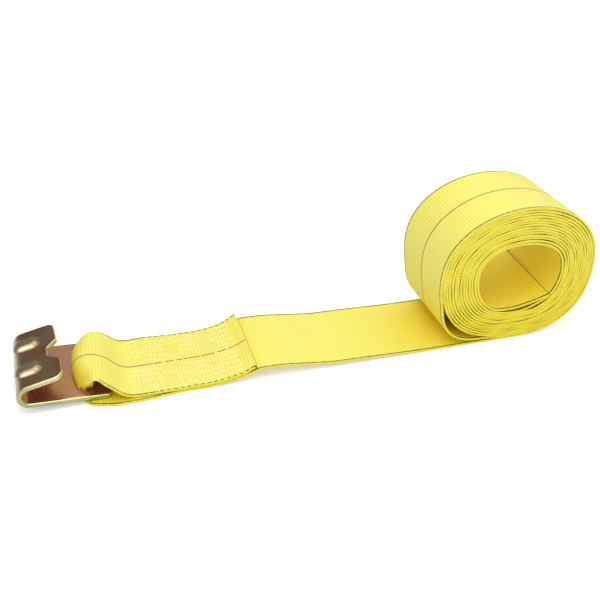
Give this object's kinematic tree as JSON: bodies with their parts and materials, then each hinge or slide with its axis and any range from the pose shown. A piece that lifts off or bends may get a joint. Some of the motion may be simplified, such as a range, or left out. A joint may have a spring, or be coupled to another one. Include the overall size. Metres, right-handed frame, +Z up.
{
  "type": "winch strap with flat hook",
  "caption": "Wide cargo strap of yellow webbing with a flat steel hook sewn into one end, the rest wound into a coil.",
  "frame": {"origin": "on the floor under the rear edge of the hook's slot bar, midway across the webbing", "axes": "+X along the strap from the hook to the coil, +Y across the webbing, +Z up"},
  "size_m": [0.6126, 0.1063, 0.1555],
  "materials": {
    "plated_steel": "yellow zinc plating over stamped steel",
    "webbing": "ribbed polyester webbing, slight sheen",
    "thread": "bonded polyester thread"
  },
  "bodies": {
    "run": {"webbing_run": "webbing"},
    "sewn_end": {"webbing_sewn_end": "webbing", "needle_thread": "thread", "bobbin_thread": "thread"},
    "hook": {"flat_hook": "plated_steel"},
    "coil": {"webbing_coil": "webbing"},
    "free_end": {"webbing_free_end": "webbing"}
  },
  "joints": [
    {"name": "sewn_end_lift", "type": "hinge", "parent": "run", "child": "sewn_end", "pos_m": [0.15, 0, 0.0124], "axis": [0, 1, 0], "range_deg": [0, 80]},
    {"name": "hook_swing", "type": "hinge", "parent": "sewn_end", "child": "hook", "pos_m": [0, 0.006, 0.0025], "axis": [0, 1, 0], "range_deg": [-4, 56]},
    {"name": "coil_roll", "type": "slide", "parent": "run", "child": "coil", "axis": [1, 0, 0], "range_m": [-0.14, 0], "deforming": ["webbing_run"]},
    {"name": "free_end_lift", "type": "hinge", "parent": "coil", "child": "free_end", "pos_m": [0.419, 0, 0.0369], "axis": [0, -1, 0], "range_deg": [0, 35]}
  ]
}
